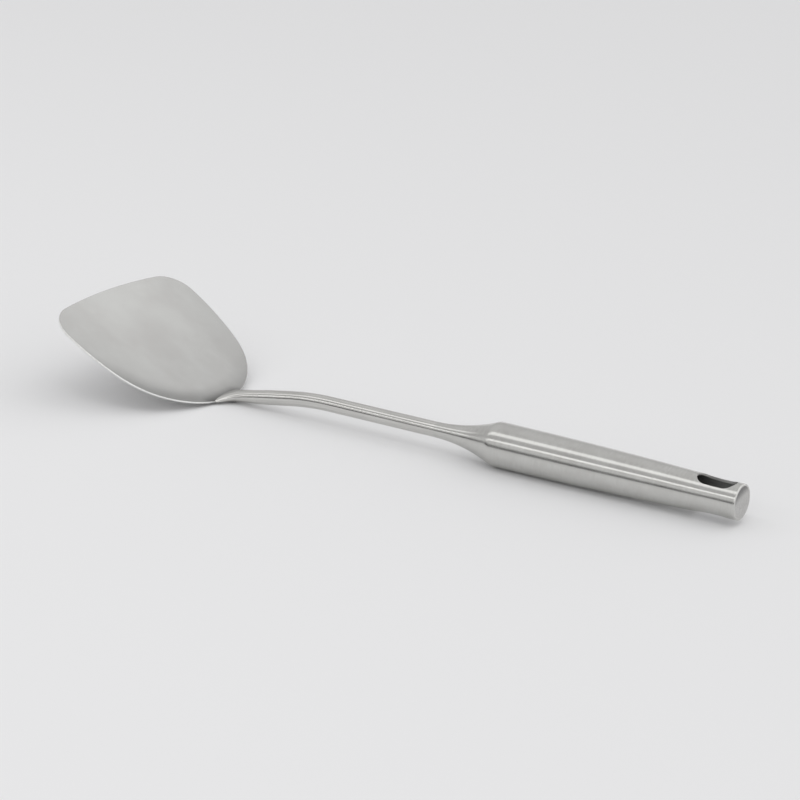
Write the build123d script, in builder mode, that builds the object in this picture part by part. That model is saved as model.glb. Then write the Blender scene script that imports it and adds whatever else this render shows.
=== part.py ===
from build123d import *
from math import asin, cos, degrees, radians, sin, sqrt
import os

# A cooking spatula lying on a table. X runs along it, from the blade to the
# handle's end, Z is up, and the origin is under the middle of its length.

# Blade: a dished sheet, flat over most of its floor
sheet = 1.2
blade_slope = 30.7
blade_half_width = 51.7
heel_length = 93.5
heel_radius = 42.4
floor_length = 80.4
roll_radius = 34.0
pan_half_length = 88.1
pan_half_width = 85.8
front_bow_radius = 288.0
corner_radius = 17.0

# Tab of the blade under the bar's flattened end, reaching past the heel
tab_reach = 4.5
tab_half_width = 1.8

# Bar: round, bent once, and hammered out flat over the blade's heel
bar_radius = 3.97
bar_bend_radius = 160.0
bend_place = 244.2
tang_length = 30.0
tang_half_width = 11.2
tang_place = 92.8
tang_reach = 54.9
tang_lift = 0.83
spigot_length = 26.0

# Handle: a tube that swells towards the neck
end_radius = 8.75
end_straight = 13.0
shoulder_radius = 11.27
shoulder_round = 5.0
grip_length = 131.6
swell_radius = 3000.0
tube_wall = 1.0
flare_radius = 95.0
cone_wall = 1.2
fit_clearance = 0.05

# Hanging slot near the handle's end
slot_place = 12.97
slot_length = 19.9
slot_width = 11.1

# Welds and the end cap
shoulder_weld_width = 2.6
neck_weld_length = 6.0
neck_weld_gap = 1.5
cap_thickness = 1.5
cap_weld_length = 1.2
cap_edge_round = 0.6
heel_weld_radius = 1.1
overrun = 5.0

# Rim of the blade, from its widest place towards the tab: shares of the
# length to the heel and of the half width
rim_shares = ((0.229, 1.0), (0.482, 0.957), (0.754, 0.785), (0.896, 0.538))
# Side of the tab: shares of the tab's length and of the tang's half width
tab_shares = (0.955, 0.38)
# Sections of the flattened end: place as a share of the tang's length, then
# half width, half height and lift as shares of the bar's radius. The first
# three thin the round bar, and from the third on it fans out
tang_shares = (
    (0.0, 1.0, 1.0, 0.0),
    (0.25, 1.0, 0.95, 0.0),
    (0.5, 1.03, 0.86, 0.02),
    (0.7, 1.22, 0.76, 0.05),
    (0.85, 1.75, 0.67, 0.02),
    (1.0, 3.0, 0.66, -0.2),
    (1.05, 3.5, 0.66, -0.29),
)

slope = radians(blade_slope)
tab_length = heel_length + tab_reach


def rolled(station, radius):
    """Height above the floor's plane where the heel rolls up."""
    return roll_radius - sqrt(radius**2 - (station - floor_length) ** 2)


# The blade's underside rests on the table at the bottom of its roll
front_height = floor_length * sin(slope) + roll_radius * (1 - cos(slope)) + sheet
tang_roll = rolled(tang_place, roll_radius)
seat_x = tang_place * cos(slope) + tang_roll * sin(slope)
seat_height = front_height - tang_place * sin(slope) + tang_roll * cos(slope)

# The handle lies level on its shoulder, and the bar comes down from its bend
# to the blade's heel
fall = asin((shoulder_radius - seat_height - tang_lift) / tang_reach)
front_x = bend_place + tang_reach * cos(fall) + seat_x
overall_length = front_x + sheet * sin(slope)

end_point = Vector(overall_length / 2, 0, shoulder_radius)
fall_run = Vector(-cos(fall), 0, -sin(fall))
bend_point = end_point - Vector(bend_place, 0, 0)
tip_point = bend_point + fall_run * tang_reach
blade_plane = Plane(
    origin=(end_point.X - front_x, 0, front_height),
    x_dir=(cos(slope), 0, -sin(slope)),
    z_dir=(sin(slope), 0, cos(slope)),
)
# In the handle's plane X is the distance from the end and Y the radius
handle_plane = Plane(origin=end_point, x_dir=(-1, 0, 0), z_dir=(0, 1, 0))
handle_axis = Axis(end_point, (-1, 0, 0))
end_plane = Plane(origin=end_point, z_dir=(-1, 0, 0))


def flare(distance):
    """Outer radius of the neck at a distance from the handle's end."""
    return bar_radius + flare_radius - sqrt(flare_radius**2 - (flare_end - distance) ** 2)


flare_drop = flare_radius - (shoulder_radius - bar_radius)
flare_end = grip_length + sqrt(flare_radius**2 - flare_drop**2)
tube_end = grip_length - shoulder_weld_width / 2
cone_start = grip_length + shoulder_weld_width / 2
neck_weld_end = flare_end - neck_weld_gap
cone_end = neck_weld_end - neck_weld_length
bore_radius = bar_radius + fit_clearance
cap_radius = end_radius - tube_wall - fit_clearance

# Blade: a deep pan with a rolled edge, trimmed to the blade's outline
pan_centre = floor_length + roll_radius - pan_half_length
pan_depth = roll_radius + overrun

with BuildSketch(blade_plane) as blade_outline:
    rim = [(heel_length * a, blade_half_width * b) for a, b in rim_shares]
    tab = (tab_length * tab_shares[0], tang_half_width * tab_shares[1])
    bow = front_bow_radius - sqrt(front_bow_radius**2 - blade_half_width**2)
    corner = (bow, blade_half_width)
    heel_run = sqrt(heel_radius**2 - tang_half_width**2)
    joint = (heel_length - heel_radius + heel_run, tang_half_width)
    with BuildLine():
        RadiusArc((0, 0), corner, front_bow_radius)
        Line(corner, rim[0])
        Spline(*rim, joint, tangents=((1, 0), (tang_half_width, -heel_run)))
        Polyline(
            joint,
            tab,
            (tab_length, tab_half_width),
            (tab_length, 0),
            (0, 0),
        )
    make_face()
    fillet(blade_outline.vertices().sort_by_distance((*corner, 0))[0], corner_radius)
    mirror(about=Plane.XZ)

with BuildPart() as pan:
    with BuildSketch(blade_plane):
        with Locations((pan_centre, 0)):
            Ellipse(pan_half_length, pan_half_width)
    extrude(amount=pan_depth)
    fillet(pan.edges().sort_by(Axis(blade_plane.origin, blade_plane.z_dir))[0], roll_radius)

with BuildPart() as blade:
    with BuildSketch(blade_plane.offset(-sheet)):
        with Locations((pan_centre, 0)):
            Ellipse(pan_half_length + sheet, pan_half_width + sheet)
    extrude(amount=pan_depth)
    fillet(
        blade.edges().sort_by(Axis(blade_plane.origin, blade_plane.z_dir))[0],
        roll_radius + sheet,
    )
    add(pan.part, mode=Mode.SUBTRACT)
    extrude(blade_outline.sketch, amount=pan_depth - overrun, both=True, mode=Mode.INTERSECT)
blade.part.label = "blade"

# All that lies under the blade's upper face, as far back as the tab
with BuildPart() as seat:
    with BuildSketch(blade_plane):
        with Locations((tab_length / 2, 0)):
            Rectangle(tab_length, blade_half_width * 2)
    extrude(amount=pan_depth - overrun, both=True)
    add(pan.part, mode=Mode.SUBTRACT)

# Bar: straight, bent, straight, then hammered flat and fanned out
spigot_point = end_point - Vector(cone_end - spigot_length, 0, 0)
tang_start = tip_point - fall_run * tang_length
with BuildPart() as shank:
    with BuildLine():
        FilletPolyline(spigot_point, bend_point, tang_start, radius=bar_bend_radius)
    with BuildSketch(Plane(origin=spigot_point, z_dir=(-1, 0, 0))):
        Circle(bar_radius)
    sweep()
    for sections in (tang_shares[:3], tang_shares[2:]):
        for place, width, height, lift in sections:
            centre = tang_start + fall_run * (tang_length * place) + Vector(0, 0, bar_radius * lift)
            with BuildSketch(Plane(origin=centre, x_dir=(0, 1, 0), z_dir=fall_run)):
                Ellipse(bar_radius * width, bar_radius * height)
        loft()
    add(seat.part, mode=Mode.SUBTRACT)
    with BuildSketch(Plane.XY.offset(-overrun)):
        with Locations(((tip_point.X + spigot_point.X) / 2, 0)):
            Rectangle(spigot_point.X - tip_point.X, tang_half_width * 2)
    extrude(amount=front_height, mode=Mode.INTERSECT)
shank.part.label = "shank"

# Handle tube, its outer and inner outlines alike but for the wall
with BuildPart() as handle_tube:
    with BuildSketch(handle_plane):
        for inset, mode in ((0, Mode.ADD), (tube_wall, Mode.SUBTRACT)):
            with BuildLine():
                start = (cap_weld_length, end_radius - inset)
                knee = (end_straight, end_radius - inset)
                finish = (tube_end, shoulder_radius - inset)
                Line(start, knee)
                RadiusArc(knee, finish, swell_radius)
                Polyline(finish, (tube_end, 0), (cap_weld_length, 0), start)
            make_face(mode=mode)
    revolve(axis=handle_axis)
    with BuildSketch(Plane.XY.offset(shoulder_radius)):
        with Locations((end_point.X - slot_place, 0)):
            SlotOverall(slot_length, slot_width)
    extrude(amount=shoulder_radius + overrun, both=True, mode=Mode.SUBTRACT)
handle_tube.part.label = "handle_tube"

# Neck cone: a trumpet with a bore for the bar at its thin end
with BuildPart() as neck_cone:
    with BuildSketch(handle_plane):
        with BuildLine():
            middle = (cone_start + cone_end) / 2
            big = (cone_start, flare(cone_start))
            thin = (cone_end, flare(cone_end))
            ThreePointArc(big, (middle, flare(middle)), thin)
            Polyline(
                thin,
                (cone_end, bore_radius),
                (middle, bore_radius),
                (cone_start, flare(cone_start) - cone_wall),
                big,
            )
        make_face()
    revolve(axis=handle_axis)
neck_cone.part.label = "neck_cone"

# Weld between the tube and the cone, ground to a round shoulder
with BuildPart() as shoulder_weld:
    with BuildSketch(handle_plane) as shoulder_section:
        with BuildLine():
            crown = (grip_length, shoulder_radius)
            Polyline(
                (tube_end, shoulder_radius - tube_wall),
                (tube_end, shoulder_radius),
                crown,
                (cone_start, flare(cone_start)),
                (cone_start, flare(cone_start) - cone_wall),
                close=True,
            )
        make_face()
        fillet(shoulder_section.vertices().sort_by_distance((*crown, 0))[0], shoulder_round)
    revolve(axis=handle_axis)
shoulder_weld.part.label = "shoulder_weld"

# Weld that fairs the cone's thin end into the bar
with BuildPart() as neck_weld:
    with BuildSketch(handle_plane):
        with BuildLine():
            middle = (cone_end + neck_weld_end) / 2
            thick = (cone_end, flare(cone_end))
            thin = (neck_weld_end, flare(neck_weld_end))
            ThreePointArc(thick, (middle, flare(middle)), thin)
            Polyline(thin, (neck_weld_end, bar_radius), (cone_end, bar_radius), thick)
        make_face()
    revolve(axis=handle_axis)
neck_weld.part.label = "neck_weld"

# End cap: a disc inside the tube, with the weld as the rounded edge round it
with BuildPart() as end_cap:
    with BuildSketch(end_plane):
        Circle(cap_radius)
    extrude(amount=cap_thickness)
end_cap.part.label = "end_cap"

with BuildPart() as cap_weld:
    with BuildSketch(end_plane):
        Circle(end_radius)
        Circle(cap_radius, mode=Mode.SUBTRACT)
    extrude(amount=cap_weld_length)
    outer_edges = cap_weld.edges().filter_by(GeomType.CIRCLE).group_by(SortBy.RADIUS)[-1]
    fillet(outer_edges.sort_by(handle_axis)[0], cap_edge_round)
cap_weld.part.label = "cap_weld"

# Bead under the lap, in the corner between the tab's end and the bar
tab_end = blade_plane.from_local_coords((tab_length, 0, rolled(tab_length, roll_radius)))
with BuildPart() as heel_weld:
    with BuildSketch(Plane(origin=tab_end, z_dir=(0, 1, 0))):
        Circle(heel_weld_radius)
    extrude(amount=tab_half_width, both=True)
    add(blade.part, mode=Mode.SUBTRACT)
    add(shank.part, mode=Mode.SUBTRACT)
heel_weld.part.label = "heel_weld"

os.makedirs("parts", exist_ok=True)
export_step(blade.part, "parts/blade.step")
export_step(shank.part, "parts/shank.step")
export_step(handle_tube.part, "parts/handle_tube.step")
export_step(neck_cone.part, "parts/neck_cone.step")
export_step(shoulder_weld.part, "parts/shoulder_weld.step")
export_step(neck_weld.part, "parts/neck_weld.step")
export_step(end_cap.part, "parts/end_cap.step")
export_step(cap_weld.part, "parts/cap_weld.step")
export_step(heel_weld.part, "parts/heel_weld.step")
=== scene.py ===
from math import asin, atan2, ceil, cos, hypot, pi, radians, sin, sqrt

import bmesh
import bpy
import numpy as np
from mathutils import Matrix, Vector


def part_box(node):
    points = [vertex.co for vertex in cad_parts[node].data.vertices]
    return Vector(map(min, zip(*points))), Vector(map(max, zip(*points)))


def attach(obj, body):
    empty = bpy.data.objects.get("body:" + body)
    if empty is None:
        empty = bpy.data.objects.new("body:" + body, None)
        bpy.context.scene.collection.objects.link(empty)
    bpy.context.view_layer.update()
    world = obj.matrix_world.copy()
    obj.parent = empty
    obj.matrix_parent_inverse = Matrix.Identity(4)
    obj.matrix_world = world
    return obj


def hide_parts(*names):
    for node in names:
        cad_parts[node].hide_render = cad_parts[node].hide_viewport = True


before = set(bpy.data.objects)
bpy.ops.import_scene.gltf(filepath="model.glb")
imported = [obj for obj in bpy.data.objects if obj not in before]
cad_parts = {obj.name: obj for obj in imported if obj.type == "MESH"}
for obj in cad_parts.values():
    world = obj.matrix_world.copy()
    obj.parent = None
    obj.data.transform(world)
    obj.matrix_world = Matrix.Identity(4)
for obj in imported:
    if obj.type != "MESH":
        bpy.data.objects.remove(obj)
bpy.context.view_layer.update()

# Metres, as in the frame: X runs from the blade to the handle's end, Z is up, the table is Z = 0
mm = 0.001

# Gaps under which two points count as one: on the tube, and at a turned piece's seam
same_place = 2e-6
seam_gap = 1e-7

# Sheet of the blade and its outline, measured in the plane of its floor
sheet = 1.2 * mm
blade_slope = radians(30.7)
blade_half_width = 51.7 * mm
heel_length = 93.5 * mm
heel_radius = 42.4 * mm
floor_length = 80.4 * mm
roll_radius = 34.0 * mm
pan_half_length = 88.1 * mm
pan_half_width = 85.8 * mm
front_bow_radius = 288.0 * mm
corner_radius = 17.0 * mm
tab_reach = 4.5 * mm
tab_half_width = 1.8 * mm
rim_shares = ((0.229, 1.0), (0.482, 0.957), (0.754, 0.785), (0.896, 0.538))
tab_shares = (0.955, 0.38)
rim_round = 0.38 * mm
# Half width of the heel's rim that the bar covers, which stays sharp
covered_half_width = 8.0 * mm
# Rings of the sheet's mesh, how they crowd to the rim, where they close as a share of its length, and
# the last one's size as a share of the outline
blade_rings = 30
ring_crowding = 1.15
ring_middle = 0.46
last_ring = 1e-4
# Gaps under which that last ring closes to a point, and the sheet's two halves join
ring_gap = 0.02 * mm
halves_gap = 0.01 * mm
# How far a point may lie off the upper and the lower face and still take the true face's normal
upper_gap = 0.02 * mm
lower_gap = 0.03 * mm

# Bar, bent once and hammered flat at its front
bar_bend_radius = 160.0 * mm
bend_place = 244.2 * mm
tang_length = 30.0 * mm
tang_half_width = 11.2 * mm
tang_place = 92.8 * mm
tang_reach = 54.9 * mm
tang_lift = 0.83 * mm
tang_round = 0.4 * mm
spigot_length = 26.0 * mm
# Flattened end: place along it, then half width, half height and lift in shares of the bar's radius
tang_shares = (
    (0.0, 1.0, 1.0, 0.0),
    (0.25, 1.0, 0.95, 0.0),
    (0.5, 1.03, 0.86, 0.02),
    (0.7, 1.22, 0.76, 0.05),
    (0.85, 1.75, 0.67, 0.02),
    (1.0, 3.0, 0.66, -0.2),
)
# Slopes of those three at the front, per tang length, and the share from which it lies on the sheet
tang_slopes = (9.2, 0.05, -1.8)
seated_share = 0.5
bar_sides = 96

# Handle
end_straight = 13.0 * mm
swell_radius = 3000.0 * mm
tube_wall = 1.0 * mm
cone_wall = 1.2 * mm
flare_radius = 95.0 * mm
shoulder_round = 5.0 * mm
cap_edge_round = 0.6 * mm
cap_dish = 0.3 * mm
fit_clearance = 0.05 * mm
slot_place = 12.97 * mm
slot_length = 19.9 * mm
slot_width = 11.1 * mm
slot_round = 0.35 * mm
# Depths in the tube's wall from which a face counts as the slot's edge, and as the bore
edge_depth = 0.02 * mm
bore_depth = 0.9 * tube_wall
turned_sides = 192
slot_sides = 96


def half_width(node):
    """Half of a node's width across the spatula."""
    low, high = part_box(node)
    return (high.y - low.y) / 2


# Places and radii from the frame, with distances counted from the handle's end towards the blade
cap_low, cap_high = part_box("end_cap")
end_x = cap_high.x
axis_z = (cap_low.z + cap_high.z) / 2
end_radius = half_width("cap_weld")
shoulder_radius = half_width("handle_tube")
bar_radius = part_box("shank")[1].z - axis_z
cap_weld_length = end_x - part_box("cap_weld")[0].x
cap_thickness = end_x - cap_low.x
cap_radius = (cap_high.z - cap_low.z) / 2
tube_end = end_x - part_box("handle_tube")[0].x
cone_start = end_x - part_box("neck_cone")[1].x
cone_end = end_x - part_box("neck_cone")[0].x
weld_end = end_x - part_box("neck_weld")[0].x
grip_length = (tube_end + cone_start) / 2
flare_drop = flare_radius - (shoulder_radius - bar_radius)
flare_end = grip_length + sqrt(flare_radius**2 - flare_drop**2)

# Middle and half sizes of the painted shade round the tang's front, how far it fades and its level
tang_shade_x = -100.0 * mm
tang_shade_y = -2.0 * mm
tang_shade_length = 8.4 * mm
tang_shade_width = 9.5 * mm
tang_shade_fade = 8.0 * mm
tang_shade_level = 0.36

# Ellipse seen from above beyond which painted shade makes the sheet's roll greyer, the shares of it
# over which it greys and the level that it reaches
roll_middle_x = -207.0 * mm
roll_middle_y = 12.0 * mm
roll_reach_x = 95.0 * mm
roll_reach_y = 74.4 * mm
roll_fade = (0.93, 1.06)
roll_level = 0.79

# Distances from the front between which painted shade greys the sheet, the half width over which
# they run straight across, and the level that it reaches
heel_shade_from = 10.0 * mm
heel_shade_to = 70.0 * mm
heel_shade_half_width = 22.0 * mm
heel_level = 0.79

# Heights above the axis between which painted shade darkens the end disc, and how they rise
# towards its back
disc_clear = 1.0 * mm
disc_dark = 6.5 * mm
disc_level = 0.35
disc_lean = 0.3

# Camera: where the photograph was taken from
lens_mm = 101.86
sensor_mm = 36.0
camera_place = (0.59171, -0.89296, 0.39739)
camera_azimuth = radians(33.742)
camera_elevation = radians(18.824)
camera_tilt = radians(0.87)


def add_camera():
    """A camera at the photograph's viewing angle, level across the table's tilt."""
    ahead = Vector((-sin(camera_azimuth), cos(camera_azimuth), 0))
    right = Vector((cos(camera_azimuth), sin(camera_azimuth), 0))
    up = ahead * sin(camera_elevation) + Vector((0, 0, cos(camera_elevation)))
    axes = Matrix((right, up, right.cross(up))).transposed()
    data = bpy.data.cameras.new("camera")
    data.lens = lens_mm
    data.sensor_width = sensor_mm
    camera = bpy.data.objects.new("camera", data)
    turn = Matrix.Rotation(-camera_tilt, 3, "Y") @ axes
    camera.matrix_world = Matrix.Translation(camera_place) @ turn.to_4x4()
    bpy.context.scene.collection.objects.link(camera)
    bpy.context.scene.camera = camera


# Materials

def colour(code):
    """An sRGB hex colour as linear red, green, blue and alpha."""
    parts = [int(code[i : i + 2], 16) / 255 for i in (1, 3, 5)]
    return [c / 12.92 if c <= 0.04045 else ((c + 0.055) / 1.055) ** 2.4 for c in parts] + [1]


def add_node(tree, kind, links=(), settings=(), values=()):
    """One shader node, with its settings, its sockets' values and its links from other nodes."""
    node = tree.nodes.new(kind)
    for name, value in dict(settings).items():
        setattr(node, name, value)
    for name, value in dict(values).items():
        node.inputs[name].default_value = value
    for name, source in dict(links).items():
        tree.links.new(source, node.inputs[name])
    return node


def start_material(name):
    """An empty material and its node tree."""
    material = bpy.data.materials.new(name)
    material.use_nodes = True
    material.node_tree.nodes.clear()
    return material, material.node_tree


def steel(
    name, tint, roughness, spread, bump, coordinates, grain, patch, share, anisotropic=0.0, dim=None
):
    """Stainless steel with a grain and soft patches.

    grain is the grain's spacing along the three axes of its coordinates, and patch the size of the
    patches that handling and polishing leave. share is the patches' part of the colour, and spread
    is how far both move the roughness. dim, where given, adds nodes that paint shade by place.
    """
    material, tree = start_material(name)
    place = add_node(tree, "ShaderNodeTexCoord").outputs[coordinates]
    fine = add_node(
        tree, "ShaderNodeMapping", {"Vector": place}, values={"Scale": [1 / size for size in grain]}
    )
    streaks = add_node(
        tree,
        "ShaderNodeTexNoise",
        {"Vector": fine.outputs[0]},
        values={"Scale": 1.0, "Detail": 3.0, "Roughness": 0.6},
    )
    wide = add_node(
        tree, "ShaderNodeMapping", {"Vector": place}, values={"Scale": [1 / size for size in patch]}
    )
    patches = add_node(
        tree,
        "ShaderNodeTexNoise",
        {"Vector": wide.outputs[0]},
        values={"Scale": 1.0, "Detail": 3.0, "Roughness": 0.55},
    )
    both = add_node(
        tree,
        "ShaderNodeMix",
        {"A": streaks.outputs[0], "B": patches.outputs[0]},
        {"data_type": "FLOAT"},
        {"Factor": share},
    )
    rough = add_node(
        tree,
        "ShaderNodeMapRange",
        {"Value": both.outputs[0]},
        {"interpolation_type": "SMOOTHSTEP"},
        {
            "From Min": 0.3,
            "From Max": 0.7,
            "To Min": roughness - spread,
            "To Max": roughness + spread,
        },
    )
    spot = add_node(
        tree,
        "ShaderNodeMapRange",
        {"Value": both.outputs[0]},
        {"interpolation_type": "SMOOTHSTEP"},
        {"From Min": 0.3, "From Max": 0.7},
    )
    shade = add_node(
        tree,
        "ShaderNodeMix",
        {"Factor": spot.outputs[0]},
        {"data_type": "RGBA"},
        {"A": colour(tint[0]), "B": colour(tint[1])},
    ).outputs[2]
    if dim:
        shade = dim(tree, place, shade)
    relief = add_node(
        tree,
        "ShaderNodeBump",
        {"Height": streaks.outputs[0]},
        values={"Strength": 1.0, "Distance": bump},
    )
    surface = add_node(
        tree,
        "ShaderNodeBsdfPrincipled",
        {"Base Color": shade, "Roughness": rough.outputs[0], "Normal": relief.outputs[0]},
        values={"Metallic": 1.0, "Anisotropic": anisotropic},
    )
    if anisotropic:
        tangent = add_node(
            tree,
            "ShaderNodeTangent",
            settings={"direction_type": "UV_MAP", "uv_map": "along_and_round"},
        )
        tree.links.new(tangent.outputs[0], surface.inputs["Tangent"])
    add_node(tree, "ShaderNodeOutputMaterial", {"Surface": surface.outputs[0]})
    return material


def darken(tree, shade, level):
    """A colour times a level."""
    return add_node(
        tree,
        "ShaderNodeMix",
        {"A": shade, "B": level},
        {"data_type": "RGBA", "blend_type": "MULTIPLY"},
        {"Factor": 1.0},
    ).outputs[2]


def dim_towards_heel(tree, place, shade):
    """Painted shade: the sheet greys from its front to its heel, more on its roll and round the tang.
    """
    # Painted shade from the front, which greys sooner at its two sides
    along = add_node(tree, "ShaderNodeSeparateXYZ", {"Vector": place})
    aside = add_node(tree, "ShaderNodeMath", {0: along.outputs["Y"]}, {"operation": "ABSOLUTE"})
    beyond = add_node(
        tree,
        "ShaderNodeMath",
        {0: aside.outputs[0]},
        {"operation": "SUBTRACT"},
        {1: heel_shade_half_width},
    )
    bow = add_node(
        tree, "ShaderNodeMath", {0: beyond.outputs[0]}, {"operation": "MAXIMUM"}, {1: 0.0}
    )
    bowed = add_node(
        tree, "ShaderNodeMath", {0: along.outputs["X"], 1: bow.outputs[0]}, {"operation": "ADD"}
    )
    front = add_node(
        tree,
        "ShaderNodeMapRange",
        {"Value": bowed.outputs[0]},
        values={
            "From Min": front_x + heel_shade_from,
            "From Max": front_x + heel_shade_to,
            "To Min": 1.0,
            "To Max": heel_level,
        },
    )
    # Painted shade on the roll of the heel
    spot = add_node(
        tree,
        "ShaderNodeVectorMath",
        {0: place},
        {"operation": "SUBTRACT"},
        {1: (roll_middle_x, roll_middle_y, 0)},
    )
    for operation, amount in (
        ("DIVIDE", (roll_reach_x, roll_reach_y, 1)),
        ("MULTIPLY", (1, 1, 0)),
        ("LENGTH", None),
    ):
        spot = add_node(tree, "ShaderNodeVectorMath", {0: spot.outputs[0]}, {"operation": operation})
        if amount:
            spot.inputs[1].default_value = amount
    roll = add_node(
        tree,
        "ShaderNodeMapRange",
        {"Value": spot.outputs["Value"]},
        {"interpolation_type": "SMOOTHSTEP"},
        {"From Min": roll_fade[0], "From Max": roll_fade[1], "To Min": 1.0, "To Max": roll_level},
    )
    # Painted shade round the tang's front
    reach = place
    for operation, amount in (
        ("SUBTRACT", (tang_shade_x, tang_shade_y, 0)),
        ("ABSOLUTE", None),
        ("SUBTRACT", (tang_shade_length, tang_shade_width, 0)),
        ("MAXIMUM", (0, 0, 0)),
        ("MULTIPLY", (1, 1, 0)),
        ("LENGTH", None),
    ):
        node = add_node(tree, "ShaderNodeVectorMath", {0: reach}, {"operation": operation})
        if amount:
            node.inputs[1].default_value = amount
        reach = node.outputs["Value" if operation == "LENGTH" else "Vector"]
    edge = add_node(
        tree,
        "ShaderNodeMapRange",
        {"Value": reach},
        {"interpolation_type": "SMOOTHSTEP"},
        {"From Min": 0.0, "From Max": tang_shade_fade, "To Min": tang_shade_level, "To Max": 1.0},
    )
    for level in (front, roll, edge):
        shade = darken(tree, shade, level.outputs[0])
    return shade


def dim_upwards(tree, place, shade):
    """Painted shade: the disc is darker towards its top, and a little more so at its front."""
    up = add_node(tree, "ShaderNodeSeparateXYZ", {"Vector": place})
    lean = add_node(
        tree,
        "ShaderNodeMath",
        {0: up.outputs["Y"], 2: up.outputs["Z"]},
        {"operation": "MULTIPLY_ADD"},
        {1: -disc_lean},
    )
    level = add_node(
        tree,
        "ShaderNodeMapRange",
        {"Value": lean.outputs[0]},
        {"interpolation_type": "SMOOTHSTEP"},
        {
            "From Min": axis_z + disc_clear,
            "From Max": axis_z + disc_dark,
            "To Min": 1.0,
            "To Max": disc_level,
        },
    )
    return darken(tree, shade, level.outputs[0])


# Mesh helpers

def clamped_curve(places, values, start_slope, end_slope):
    """Smooth cubic through values at places, with given slopes at its two ends."""
    places, values = np.array(places, float), np.array(values, float)
    n = len(places)
    step = np.diff(places)
    matrix, right = np.zeros((n, n)), np.zeros(n)
    matrix[0, 0] = matrix[-1, -1] = 1
    right[0], right[-1] = start_slope, end_slope
    for i in range(1, n - 1):
        matrix[i, i - 1 : i + 2] = step[i], 2 * (step[i - 1] + step[i]), step[i - 1]
        right[i] = 3 * (
            step[i] * (values[i] - values[i - 1]) / step[i - 1]
            + step[i - 1] * (values[i + 1] - values[i]) / step[i]
        )
    slopes = np.linalg.solve(matrix, right)

    def curve(at):
        i = int(np.clip(np.searchsorted(places, at) - 1, 0, n - 2))
        t = (at - places[i]) / step[i]
        rise = values[i + 1] - values[i]
        a, b = slopes[i] * step[i] - rise, rise - slopes[i + 1] * step[i]
        return values[i] + t * rise + t * (1 - t) * (a * (1 - t) + b * t)

    return curve


def finish_piece(name, bm, materials, node, normal_at=None):
    """Turns a bmesh into a piece that stands for one CAD node.

    normal_at gives the true surface's normal at a point, or None where the mesh's own serves.
    """
    mesh = bpy.data.meshes.new(name)
    bm.to_mesh(mesh)
    bm.free()
    for polygon in mesh.polygons:
        polygon.use_smooth = True
    if normal_at:
        mesh.normals_split_custom_set_from_vertices(
            [normal_at(v.co) or v.normal.copy() for v in mesh.vertices]
        )
    for material in materials:
        mesh.materials.append(material)
    piece = bpy.data.objects.new(name, mesh)
    bpy.context.scene.collection.objects.link(piece)
    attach(piece, "root")
    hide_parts(node)


def extrude_row(bm, edges):
    """Extrudes a row of edges, and gives the points and edges of the new row."""
    made = bmesh.ops.extrude_edge_only(bm, edges=edges)["geom"]
    verts = [g for g in made if isinstance(g, bmesh.types.BMVert)]
    drawn = [g for g in made if isinstance(g, bmesh.types.BMEdge)]
    return verts, [e for e in drawn if all(v in verts for v in e.verts)]


def break_edges(bm, edges, width):
    """Takes the sharpness off some edges with a small round."""
    bmesh.ops.bevel(
        bm,
        geom=edges,
        offset=width,
        offset_type="OFFSET",
        affect="EDGES",
        segments=3,
        profile=0.5,
        material=-1,
        clamp_overlap=True,
    )


def lay_uv(bm, place):
    """A UV map whose first axis follows the grain's length and whose second goes round, in metres."""
    layer = bm.loops.layers.uv.new("along_and_round")
    for face in bm.faces:
        _, angle, radius = place(face.calc_center_median())
        for loop in face.loops:
            u, turn, _ = place(loop.vert.co)
            turn = angle + (turn - angle + pi) % (2 * pi) - pi
            loop[layer].uv = (u, turn * radius)


# Handle: everything that is round about its axis

def flare(distance):
    """Outer radius of the neck."""
    return bar_radius + flare_radius - sqrt(flare_radius**2 - (flare_end - distance) ** 2)


def swell(distance):
    """Outer radius of the tube."""
    if distance <= end_straight:
        return end_radius
    run, rise = tube_end - end_straight, shoulder_radius - end_radius
    chord = hypot(run, rise)
    sag = swell_radius - sqrt(swell_radius**2 - chord**2 / 4)
    middle_x, middle_r = end_straight + run / 2, end_radius + rise / 2
    reach = swell_radius - sag
    centre_x, centre_r = middle_x + rise / chord * reach, middle_r - run / chord * reach
    return centre_r + sqrt(swell_radius**2 - (distance - centre_x) ** 2)


def shoulder(distance):
    """Outer radius of the ground weld between the tube and the cone."""
    drop = shoulder_radius - flare(cone_start)
    angle = atan2(drop, cone_start - grip_length)
    tangent = shoulder_round * sin(angle / 2) / cos(angle / 2)
    begin, finish = grip_length - tangent, grip_length + tangent * cos(angle)
    if distance <= begin:
        return shoulder_radius
    if distance <= finish:
        return shoulder_radius - shoulder_round + sqrt(shoulder_round**2 - (distance - begin) ** 2)
    return shoulder_radius - (distance - grip_length) * drop / (cone_start - grip_length)


def outer_radius(distance):
    """Outer radius of the handle from its end cap's weld to the bar."""
    if distance <= tube_end:
        return swell(distance)
    if distance <= cone_start:
        return shoulder(distance)
    return flare(min(distance, flare_end))


def handle_normal(point):
    """Normal of the handle's ground outer surface, or None away from it."""
    distance, across = end_x - point.x, Vector((0, point.y, point.z - axis_z))
    if abs(across.length - outer_radius(distance)) > same_place:
        return None
    near = 1.5 * mm
    low, high = max(distance - near, cap_weld_length), min(distance + near, weld_end)
    grade = (outer_radius(high) - outer_radius(low)) / (high - low)
    return (across.normalized() + Vector((grade, 0, 0))).normalized()


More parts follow.
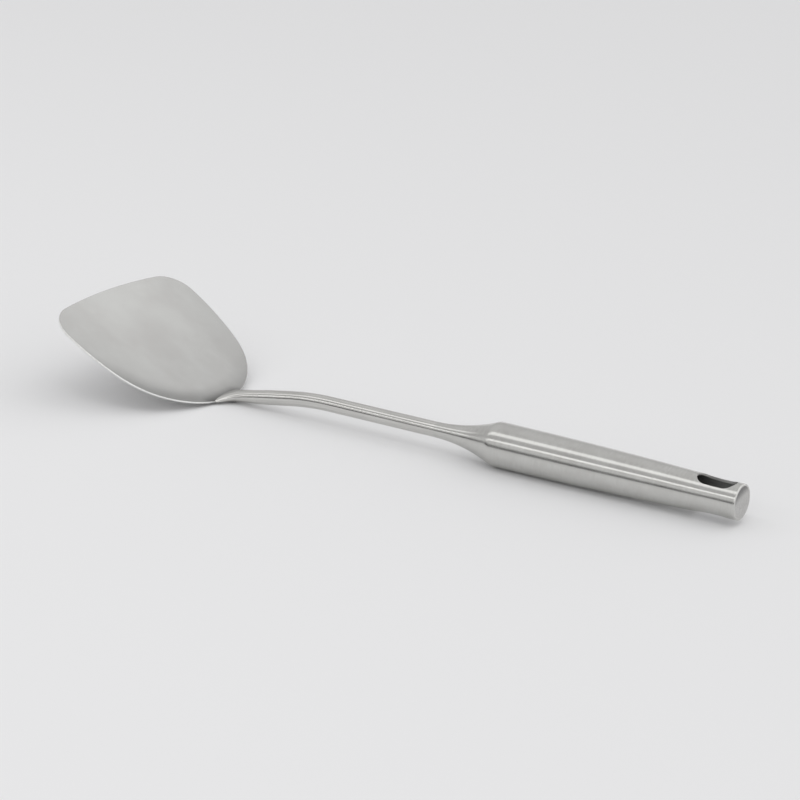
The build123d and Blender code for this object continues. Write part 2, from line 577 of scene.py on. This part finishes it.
def spun(profile, closed=True):
    """A bmesh turned about the handle's axis from a profile of distances and radii."""
    bm = bmesh.new()
    first = [bm.verts.new((end_x - d, 0, axis_z + r)) for d, r in profile]
    edges = [bm.edges.new((a, b)) for a, b in zip(first, first[1:])]
    if closed:
        edges.append(bm.edges.new((first[-1], first[0])))
    bmesh.ops.spin(
        bm,
        geom=first + edges,
        cent=(end_x, 0, axis_z),
        axis=(1, 0, 0),
        angle=2 * pi,
        steps=turned_sides,
        use_merge=True,
        use_duplicate=False,
    )
    bmesh.ops.remove_doubles(bm, verts=bm.verts, dist=seam_gap)
    bmesh.ops.recalc_face_normals(bm, faces=bm.faces)
    return bm


def spaced(start, finish, step):
    """Evenly spaced distances from start to finish, about a step apart."""
    count = max(1, ceil(abs(finish - start) / step))
    return [start + (finish - start) * i / count for i in range(count + 1)]


def round_the_axis(point):
    """Place of a point along and round the handle, for its grain."""
    return point.x, atan2(point.y, point.z - axis_z), shoulder_radius


def with_slot(bm):
    """The tube with its hanging slot cut through both walls and the slot's edges broken."""
    tube = bpy.data.objects.new("tube_blank", bpy.data.meshes.new("tube_blank"))
    bm.to_mesh(tube.data)
    bm.free()
    cutter_bm = bmesh.new()
    straight = (slot_length - slot_width) / 2
    bmesh.ops.create_circle(cutter_bm, segments=slot_sides, radius=slot_width / 2)
    for vert in cutter_bm.verts:
        vert.co.x += straight if vert.co.x > 0 else -straight
    base = bmesh.ops.contextual_create(cutter_bm, geom=cutter_bm.edges[:])["faces"]
    bmesh.ops.translate(
        cutter_bm, verts=cutter_bm.verts, vec=(end_x - slot_place, 0, axis_z - 2 * shoulder_radius)
    )
    top = bmesh.ops.extrude_face_region(cutter_bm, geom=base)["geom"]
    raised = [v for v in top if isinstance(v, bmesh.types.BMVert)]
    bmesh.ops.translate(cutter_bm, verts=raised, vec=(0, 0, 4 * shoulder_radius))
    bmesh.ops.recalc_face_normals(cutter_bm, faces=cutter_bm.faces)
    cutter = bpy.data.objects.new("slot_cutter", bpy.data.meshes.new("slot_cutter"))
    cutter_bm.to_mesh(cutter.data)
    cutter_bm.free()
    for thing in (tube, cutter):
        bpy.context.scene.collection.objects.link(thing)
    cut = tube.modifiers.new("slot", "BOOLEAN")
    cut.object = cutter
    cut.operation = "DIFFERENCE"
    cut.solver = "EXACT"
    graph = bpy.context.evaluated_depsgraph_get()
    result = bmesh.new()
    result.from_mesh(tube.evaluated_get(graph).to_mesh())
    bpy.data.objects.remove(cutter)
    bpy.data.objects.remove(tube)
    bmesh.ops.remove_doubles(result, verts=result.verts, dist=same_place)
    break_edges(result, [e for e in result.edges if on_slot(e)], slot_round)
    return result


def on_slot(edge):
    """Whether an edge lies where the slot's wall meets the tube's outer or inner face."""
    if len(edge.link_faces) != 2:
        return False
    a, b = edge.link_faces
    upright = [f for f in (a, b) if abs(f.normal.z) < 0.05]
    lengthwise = abs(edge.verts[0].co.x - (end_x - slot_place)) < slot_length / 2 + mm
    across = abs(edge.verts[0].co.y) < slot_width / 2 + 0.1 * mm
    sharp = a.normal.angle(b.normal) > radians(30)
    return len(upright) == 1 and lengthwise and across and sharp


def depth_in_wall(point):
    """How far a point lies below the tube's outer face."""
    return outer_radius(end_x - point.x) - hypot(point.y, point.z - axis_z)


def make_handle(brushed, bore_finish_and_shade, edge_finish, cap_finish):
    """The tube, its welds, the neck and the end cap."""
    bore = bar_radius + fit_clearance
    outer = spaced(cap_weld_length, end_straight, 1.5 * mm) + spaced(end_straight, tube_end, 2 * mm)[1:]
    tube = [(d, swell(d)) for d in outer] + [(d, swell(d) - tube_wall) for d in reversed(outer)]
    bm = with_slot(spun(tube))
    for face in bm.faces:
        depth = depth_in_wall(face.calc_center_median())
        face.material_index = 1 if depth > bore_depth else 2 if depth > edge_depth else 0
    lay_uv(bm, round_the_axis)
    finishes = [brushed, bore_finish_and_shade, edge_finish]
    finish_piece("grip_tube", bm, finishes, "handle_tube", handle_normal)

    rows = spaced(tube_end, cone_start, 0.15 * mm)
    ring = [(d, shoulder(d)) for d in rows]
    ring += [(cone_start, flare(cone_start) - cone_wall), (tube_end, shoulder_radius - tube_wall)]
    bm = spun(ring)
    lay_uv(bm, round_the_axis)
    finish_piece("shoulder_seam", bm, [brushed], "shoulder_weld", handle_normal)

    rows = spaced(cone_start, cone_end, 0.7 * mm)
    middle = (cone_start + cone_end) / 2
    trumpet = [(d, flare(d)) for d in rows]
    trumpet += [(cone_end, bore), (middle, bore), (cone_start, flare(cone_start) - cone_wall)]
    bm = spun(trumpet)
    lay_uv(bm, round_the_axis)
    finish_piece("neck_trumpet", bm, [brushed], "neck_cone", handle_normal)

    rows = spaced(cone_end, weld_end, 0.5 * mm)
    fairing = [(d, flare(d)) for d in rows] + [(weld_end, bar_radius), (cone_end, bar_radius)]
    bm = spun(fairing)
    lay_uv(bm, round_the_axis)
    finish_piece("neck_seam", bm, [brushed], "neck_weld", handle_normal)

    corner = end_radius - cap_edge_round
    turns = [pi / 2 * i / 8 for i in range(9)]
    edge = [(cap_edge_round * (1 - cos(t)), corner + cap_edge_round * sin(t)) for t in turns]
    ring = edge + [(cap_weld_length, end_radius), (cap_weld_length, cap_radius), (0, cap_radius)]
    bm = spun(ring)
    lay_uv(bm, round_the_axis)
    finish_piece("end_seam", bm, [brushed], "cap_weld", cap_weld_normal)

    dish = [(cap_dish * (1 - (i / 10) ** 2), cap_radius * i / 10) for i in range(11)]
    disc = dish + [(cap_thickness, cap_radius), (cap_thickness, 0)]
    bm = spun(disc, closed=False)
    lay_uv(bm, round_the_axis)
    finish_piece("end_disc", bm, [cap_finish], "end_cap", cap_normal)


def cap_normal(point):
    """Normal of the end disc's dished face, or None on its other faces."""
    across = Vector((0, point.y, point.z - axis_z))
    if end_x - point.x > cap_dish + 0.01 * mm:
        return None
    return (Vector((1, 0, 0)) - across * 2 * cap_dish / cap_radius**2).normalized()


def cap_weld_normal(point):
    """Normal of the rounded edge round the end cap, or None inside the tube."""
    across = Vector((0, point.y, point.z - axis_z))
    distance, radius = end_x - point.x, across.length
    if distance > cap_edge_round:
        return handle_normal(point)
    reach = radius - (end_radius - cap_edge_round)
    if reach < seam_gap:
        return Vector((1, 0, 0))
    out = (cap_edge_round - distance) / cap_edge_round
    return (across.normalized() * reach / cap_edge_round + Vector((out, 0, 0))).normalized()


# Blade: a dished sheet

pan_centre = floor_length + roll_radius - pan_half_length
front_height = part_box("blade")[1].z
front_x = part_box("blade")[0].x + sheet * sin(blade_slope)
blade_frame = Matrix(
    (
        (cos(blade_slope), 0, sin(blade_slope), front_x),
        (0, 1, 0, 0),
        (-sin(blade_slope), 0, cos(blade_slope), front_height),
        (0, 0, 0, 1),
    )
)


def pan_rise(station, across):
    """Height of the blade's upper face above the plane of its floor, and its slopes."""
    a, b = pan_half_length, pan_half_width
    x, y = station - pan_centre, abs(across)
    # Nearest point of the pan's ellipse, by five of Newton's steps
    turn = atan2(y * a, x * b)
    for _ in range(5):
        c, s = cos(turn), sin(turn)
        error = (a * a - b * b) * c * s - x * a * s + y * b * c
        turn -= error / ((a * a - b * b) * (c * c - s * s) - x * a * c - y * b * s)
    near_x, near_y = a * cos(turn), b * sin(turn)
    inset = hypot(x - near_x, y - near_y)
    if inset >= roll_radius:
        return 0.0, Vector((0, 0, 1))
    lean = roll_radius - inset
    out = Vector((near_x - x, (near_y - y) * (1 if across >= 0 else -1), 0)) / inset
    depth = sqrt(roll_radius**2 - lean**2)
    return roll_radius - depth, (Vector((0, 0, depth)) - out * lean).normalized()


def blade_outline():
    """Half of the blade's outline from its front to the tab, as stations and half widths."""
    tab_length = heel_length + tab_reach
    rim = [(heel_length * a, blade_half_width * b) for a, b in rim_shares]
    heel_run = sqrt(heel_radius**2 - tang_half_width**2)
    joint = (heel_length - heel_radius + heel_run, tang_half_width)
    # The front's arc and the side's straight line, with a round corner between them
    inner = front_bow_radius - corner_radius
    corner_w = blade_half_width - corner_radius
    corner_s = front_bow_radius - sqrt(inner**2 - corner_w**2)
    turn = asin(corner_w / inner)
    points = []
    bow_steps, corner_steps, side_steps, flank_steps = 23, 20, 4, 70
    for i in range(bow_steps + 1):
        angle = turn * i / bow_steps
        points.append((front_bow_radius * (1 - cos(angle)), front_bow_radius * sin(angle)))
    for i in range(1, corner_steps + 1):
        angle = turn + (pi / 2 - turn) * i / corner_steps
        points.append((corner_s - corner_radius * cos(angle), corner_w + corner_radius * sin(angle)))
    knots = rim + [joint]
    gaps = [hypot(b[0] - a[0], b[1] - a[1]) for a, b in zip(knots, knots[1:])]
    lengths = [0.0]
    for gap in gaps:
        lengths.append(lengths[-1] + gap)
    run = (tang_half_width / heel_radius, -heel_run / heel_radius)
    along = clamped_curve(lengths, [k[0] for k in knots], 1.0, run[0])
    wide = clamped_curve(lengths, [k[1] for k in knots], 0.0, run[1])
    for i in range(1, side_steps + 1):
        share = i / side_steps
        points.append((corner_s + (rim[0][0] - corner_s) * share, blade_half_width))
    for i in range(1, flank_steps + 1):
        at = lengths[-1] * i / flank_steps
        points.append((along(at), wide(at)))
    tab = (tab_length * tab_shares[0], tang_half_width * tab_shares[1])
    points += [tab, (tab_length, tab_half_width), (tab_length, 0.0)]
    return points


def blade_normal(point):
    """Normal of the blade's upper or lower face at a point, or None on its rim."""
    local = blade_frame.inverted() @ point
    rise, normal = pan_rise(local.x, local.y)
    height = (local.z - rise) * normal.z
    turned = blade_frame.to_3x3() @ normal
    if abs(height) < upper_gap:
        return turned
    if abs(height + sheet) < lower_gap:
        return -turned
    return None


def make_blade(satin, rim_finish_and_highlight):
    """The dished sheet, drawn in from its outline ring by ring, thickened and its rim broken."""
    bm = bmesh.new()
    middle = Vector((ring_middle * heel_length, 0, 0))
    chain = [bm.verts.new((s, w, 0)) for s, w in blade_outline()]
    edges = [bm.edges.new(pair) for pair in zip(chain, chain[1:])]
    size = 1.0
    for i in range(1, blade_rings + 1):
        share = 1 - (i / blade_rings) ** ring_crowding
        verts, edges = extrude_row(bm, edges)
        factor = max(share, last_ring) / size
        bmesh.ops.scale(bm, vec=(factor,) * 3, verts=verts, space=Matrix.Translation(-middle))
        size = max(share, last_ring)
    bmesh.ops.remove_doubles(bm, verts=bm.verts, dist=ring_gap)
    bmesh.ops.mirror(bm, geom=bm.verts[:] + bm.edges[:] + bm.faces[:], axis="Y", merge_dist=halves_gap)
    bmesh.ops.remove_doubles(bm, verts=bm.verts, dist=halves_gap)
    bmesh.ops.recalc_face_normals(bm, faces=bm.faces)
    if sum(f.normal.z for f in bm.faces) < 0:
        bmesh.ops.reverse_faces(bm, faces=bm.faces)
    lower = bmesh.ops.duplicate(bm, geom=bm.verts[:] + bm.edges[:] + bm.faces[:])
    below = {g for g in lower["geom"] if isinstance(g, bmesh.types.BMVert)}
    lower_faces = [g for g in lower["geom"] if isinstance(g, bmesh.types.BMFace)]
    for vert in bm.verts:
        rise, normal = pan_rise(vert.co.x, vert.co.y)
        vert.co.z = rise
        if vert in below:
            lean = roll_radius * sqrt(1 - min(normal.z, 1.0) ** 2)
            vert.co.z = roll_radius - sqrt((roll_radius + sheet) ** 2 - lean**2)
    bmesh.ops.reverse_faces(bm, faces=lower_faces)
    border = [e for e in bm.edges if len(e.link_faces) == 1]
    rim = set(bmesh.ops.bridge_loops(bm, edges=border)["faces"])
    for face in rim:
        face.material_index = 1
    bmesh.ops.recalc_face_normals(bm, faces=bm.faces)
    sharp = []
    for edge in bm.edges:
        at_front = edge.verts[0].co.x < heel_length / 2
        uncovered = abs(edge.verts[0].co.y) > covered_half_width
        if len(rim.intersection(edge.link_faces)) == 1 and (at_front or uncovered):
            sharp.append(edge)
    break_edges(bm, sharp, rim_round)
    bmesh.ops.transform(bm, matrix=blade_frame, verts=bm.verts)
    lay_uv(bm, lambda p: (p.x, p.y, 1.0))
    finish_piece("blade_sheet", bm, [satin, rim_finish_and_highlight], "blade", blade_normal)


# Bar

tang_rise, _ = pan_rise(tang_place, 0)
seat = blade_frame @ Vector((tang_place, 0, tang_rise))
fall = asin((axis_z - seat.z - tang_lift) / tang_reach)
bend_x = end_x - bend_place
bend_run = bar_bend_radius * sin(fall / 2) / cos(fall / 2)
bar_start = cone_end - spigot_length
straight_run = bend_place - bend_run - bar_start
bend_length = bar_bend_radius * fall
slope_run = tang_reach - bend_run - tang_length
tang_begin = straight_run + bend_length + slope_run


def bar_station(run):
    """Centre of the bar and its direction at a run from its hidden end."""
    if run <= straight_run:
        return Vector((end_x - bar_start - run, 0, axis_z)), 0.0
    turn = min((run - straight_run) / bar_bend_radius, fall)
    x = bend_x + bend_run - bar_bend_radius * sin(turn)
    z = axis_z - bar_bend_radius * (1 - cos(turn))
    past = max(run - straight_run - bend_length, 0.0)
    return Vector((x - past * cos(fall), 0, z - past * sin(fall))), turn


fan_places, *fan_columns = zip(*tang_shares)
fan_width, fan_height, fan_lift = (
    clamped_curve(fan_places, column, 0.0, slope) for column, slope in zip(fan_columns, tang_slopes)
)


def on_bar(point):
    """Takes a point of a straight bar of run, side and height to the bent and flattened one."""
    centre, turn = bar_station(point.x)
    width = height = 1.0
    lift = inset = 0.0
    share = (point.x - tang_begin) / tang_length
    if share > 0:
        width, height, lift = fan_width(share), fan_height(share), fan_lift(share)
        past = 1 + (point.x - tang_begin - tang_length) / tang_round
        inset = tang_round * (1 - sqrt(1 - min(max(past, 0.0), 1.0) ** 2))
    reach = tang_half_width - inset
    side = max(-reach, min(reach, point.y * width))
    up = point.z * (height - inset / bar_radius)
    placed = centre + Vector((-sin(turn) * up, side, cos(turn) * up + bar_radius * lift))
    local = blade_frame.inverted() @ placed
    if local.x < heel_length + tab_reach and share > seated_share:
        rise, _ = pan_rise(local.x, local.y)
        if local.z < rise:
            local.z = rise
            placed = blade_frame @ local
    return placed


def make_shank(polished):
    """The bar: drawn straight, then bent, flattened and fanned out over the blade's heel."""
    bm = bmesh.new()
    bmesh.ops.create_circle(bm, cap_ends=True, segments=bar_sides, radius=bar_radius)
    bmesh.ops.rotate(bm, verts=bm.verts, cent=(0, 0, 0), matrix=Matrix.Rotation(pi / 2, 3, "Y"))
    runs = spaced(0, straight_run, 4 * mm)
    runs += spaced(straight_run, straight_run + bend_length, 0.8 * mm)[1:]
    runs += spaced(straight_run + bend_length, tang_begin, 2 * mm)[1:]
    round_begin = tang_begin + tang_length - tang_round
    runs += spaced(tang_begin, round_begin, 0.5 * mm)[1:]
    runs += [round_begin + tang_round * sin(radians(turn)) for turn in (25, 50, 70, 90)]
    edges = bm.edges[:]
    for before, after in zip(runs, runs[1:]):
        verts, edges = extrude_row(bm, edges)
        bmesh.ops.translate(bm, verts=verts, vec=(after - before, 0, 0))
    bmesh.ops.contextual_create(bm, geom=edges)
    bmesh.ops.recalc_face_normals(bm, faces=bm.faces)
    lay_uv(bm, lambda p: (p.x, atan2(p.y, p.z), bar_radius))
    for vert in bm.verts:
        vert.co = on_bar(vert.co)
    finish_piece("bar_and_tang", bm, [polished], "shank")


# Studio: a pale floor, a soft sky and two long lamps whose light runs along the metal

floor_half = 12.0
# The sky's brightness by height: dark low down, brightest just above that and softer overhead
sky_bands = (
    (0.0, 0.06),
    (0.14, 0.08),
    (0.2, 0.68),
    (0.3, 0.76),
    (0.5, 0.54),
    (0.7, 0.49),
    (0.9, 0.60),
)
# Both lamps lie level along the spatula, this far off, this long and moved this far to the blade
lamp_distance = 1.5
lamp_length = 3.2
lamp_shift = -0.7


def make_floor():
    """A matt white board that reaches past every view's horizon."""
    bm = bmesh.new()
    bmesh.ops.create_grid(bm, x_segments=1, y_segments=1, size=floor_half)
    mesh = bpy.data.meshes.new("floor")
    bm.to_mesh(mesh)
    bm.free()
    material, tree = start_material("matt_white_board")
    surface = add_node(
        tree,
        "ShaderNodeBsdfPrincipled",
        values={"Base Color": colour("#ebebec"), "Roughness": 0.7},
    )
    add_node(tree, "ShaderNodeOutputMaterial", {"Surface": surface.outputs[0]})
    mesh.materials.append(material)
    floor = bpy.data.objects.new("floor", mesh)
    bpy.context.scene.collection.objects.link(floor)


def make_sky():
    """Plain soft light from all round, brighter by the handle, with a dark band low in front."""
    world = bpy.data.worlds.new("studio")
    bpy.context.scene.world = world
    world.use_nodes = True
    tree = world.node_tree
    tree.nodes.clear()
    direction = add_node(tree, "ShaderNodeTexCoord").outputs["Generated"]
    axes = add_node(tree, "ShaderNodeSeparateXYZ", {"Vector": direction})
    # The dark band fades out towards the back
    lift = add_node(
        tree,
        "ShaderNodeMapRange",
        {"Value": axes.outputs["Y"]},
        {"interpolation_type": "SMOOTHSTEP"},
        {"From Min": -0.6, "From Max": 0.1, "To Min": 0.0, "To Max": 0.25},
    )
    over = add_node(
        tree, "ShaderNodeMath", {0: axes.outputs["Z"], 1: lift.outputs[0]}, {"operation": "ADD"}
    )
    ramp = add_node(tree, "ShaderNodeValToRGB", {"Fac": over.outputs[0]})
    elements = ramp.color_ramp.elements
    while len(elements) < len(sky_bands):
        elements.new(0.5)
    for element, (place, level) in zip(elements, sky_bands):
        element.position = place
        element.color = (level, level, level, 1)
    # Brighter over the handle's end, and a little brighter behind
    side = add_node(
        tree,
        "ShaderNodeMapRange",
        {"Value": axes.outputs["X"]},
        {"interpolation_type": "SMOOTHSTEP"},
        {"From Min": -0.35, "From Max": 0.55, "To Min": 1.0, "To Max": 1.75},
    )
    behind = add_node(
        tree,
        "ShaderNodeMapRange",
        {"Value": axes.outputs["Y"]},
        {"interpolation_type": "SMOOTHSTEP"},
        {"From Min": -0.2, "From Max": 0.3, "To Min": 1.0, "To Max": 1.17},
    )
    strength = add_node(
        tree, "ShaderNodeMath", {0: side.outputs[0], 1: behind.outputs[0]}, {"operation": "MULTIPLY"}
    )
    light = add_node(
        tree, "ShaderNodeBackground", {"Color": ramp.outputs[0], "Strength": strength.outputs[0]}
    )
    add_node(tree, "ShaderNodeOutputWorld", {"Surface": light.outputs[0]})


def add_lamp(name, elevation, width, radiance):
    """A long lamp over the camera's side, aimed at the spatula, as bright all over its face."""
    data = bpy.data.lights.new(name, "AREA")
    data.shape = "RECTANGLE"
    data.size = lamp_length
    data.size_y = width
    data.energy = radiance * pi * lamp_length * width
    lamp = bpy.data.objects.new(name, data)
    ahead = Vector((0, cos(elevation), -sin(elevation)))
    place = Vector((lamp_shift, 0, axis_z)) - ahead * lamp_distance
    right = Vector((1, 0, 0))
    up = right.cross(ahead)
    lamp.matrix_world = Matrix.Translation(place) @ Matrix((right, up, -ahead)).transposed().to_4x4()
    bpy.context.scene.collection.objects.link(lamp)


add_camera()
bpy.context.scene.view_settings.view_transform = "Standard"
make_floor()
make_sky()
add_lamp("front_bar_lamp", elevation=radians(36), width=0.13, radiance=1.75)
add_lamp("top_bar_lamp", elevation=radians(71.3), width=0.42, radiance=0.77)

# Cold-rolled stainless sheet with a satin face: a soft even sheen with cloudy patches, no lines
satin = steel(
    name="stainless_satin_rolled",
    tint=("#cfcecc", "#d8d8d6"),
    roughness=0.24,
    spread=0.02,
    bump=0.001 * mm,
    coordinates="Object",
    grain=(1.2 * mm, 1.2 * mm, 1.2 * mm),
    patch=(34 * mm, 26 * mm, 30 * mm),
    share=0.86,
    # Painted shade: greyer towards the heel, on the roll and round the tang's front
    dim=dim_towards_heel,
)
# The same sheet's cut edge, ground and buffed, with a painted highlight in its paler tint: a thin
# bright line round the blade
rim_finish_and_highlight = steel(
    name="stainless_ground_rim_highlight",
    tint=("#eeeeec", "#f5f5f3"),
    roughness=0.18,
    spread=0.02,
    bump=0.0005 * mm,
    coordinates="Object",
    grain=(2 * mm, 2 * mm, 2 * mm),
    patch=(9 * mm, 9 * mm, 9 * mm),
    share=0.6,
)
# Stainless tube brushed round its axis: lamps draw out into stripes along it, crossed by faint
# rings. The real rings are finer, and are drawn about 0.5 mm apart so that they show
brushed = steel(
    name="stainless_brushed_round",
    tint=("#c5c4c1", "#d2d2cf"),
    roughness=0.24,
    spread=0.025,
    bump=0.001 * mm,
    coordinates="UV",
    grain=(0.55 * mm, 5 * mm, 1.0),
    patch=(14 * mm, 10 * mm, 1.0),
    share=0.4,
    anisotropic=0.5,
)
# The tube's inside as drawn and never polished, so it is dull; its dark grey tint is painted shade
# seen through the slot
bore_finish_and_shade = steel(
    name="stainless_dull_drawn_bore_shade",
    tint=("#8c8c8b", "#a2a2a0"),
    roughness=0.6,
    spread=0.05,
    bump=0.004 * mm,
    coordinates="Object",
    grain=(2 * mm, 1 * mm, 1 * mm),
    patch=(6 * mm, 6 * mm, 6 * mm),
    share=0.5,
)
# The slot's edge, tumbled after cutting: a matt pale line between the brushed tube and the bore
edge_finish = steel(
    name="stainless_deburred_edge",
    tint=("#d2d1cf", "#dededc"),
    roughness=0.6,
    spread=0.05,
    bump=0.003 * mm,
    coordinates="Object",
    grain=(0.8 * mm, 0.8 * mm, 0.8 * mm),
    patch=(5 * mm, 5 * mm, 5 * mm),
    share=0.5,
)
# Stainless bar polished along its length: sharp stripes that follow its bend, with lengthwise
# lines. The real lines are finer, and are drawn 0.7 mm apart so that they show
polished = steel(
    name="stainless_polished_lengthwise",
    tint=("#c3c2bf", "#d9d8d5"),
    roughness=0.19,
    spread=0.04,
    bump=0.003 * mm,
    coordinates="UV",
    grain=(40 * mm, 0.7 * mm, 1.0),
    patch=(25 * mm, 4 * mm, 1.0),
    share=0.4,
)
# Stainless disc brushed one way: flat grey with upright lines, and painted shade that darkens it
# towards its top. The real lines are finer, and are drawn 0.6 mm apart so that they show
cap_finish = steel(
    name="stainless_brushed_disc",
    tint=("#b9b8b6", "#c4c3c1"),
    roughness=0.28,
    spread=0.04,
    bump=0.002 * mm,
    coordinates="Object",
    grain=(0.9 * mm, 0.6 * mm, 6 * mm),
    patch=(6 * mm, 6 * mm, 6 * mm),
    share=0.5,
    dim=dim_upwards,
)
# Stainless weld metal left as it froze: a small dull bead with soft ripples
bead_finish = steel(
    name="stainless_fused_bead",
    tint=("#b4b3b1", "#cbcac8"),
    roughness=0.3,
    spread=0.05,
    bump=0.01 * mm,
    coordinates="Object",
    grain=(3 * mm, 1.1 * mm, 1.1 * mm),
    patch=(4 * mm, 4 * mm, 4 * mm),
    share=0.4,
)

make_handle(brushed, bore_finish_and_shade, edge_finish, cap_finish)
make_blade(satin, rim_finish_and_highlight)
make_shank(polished)
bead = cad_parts["heel_weld"]
for place in bead.material_slots:
    place.material = bead_finish
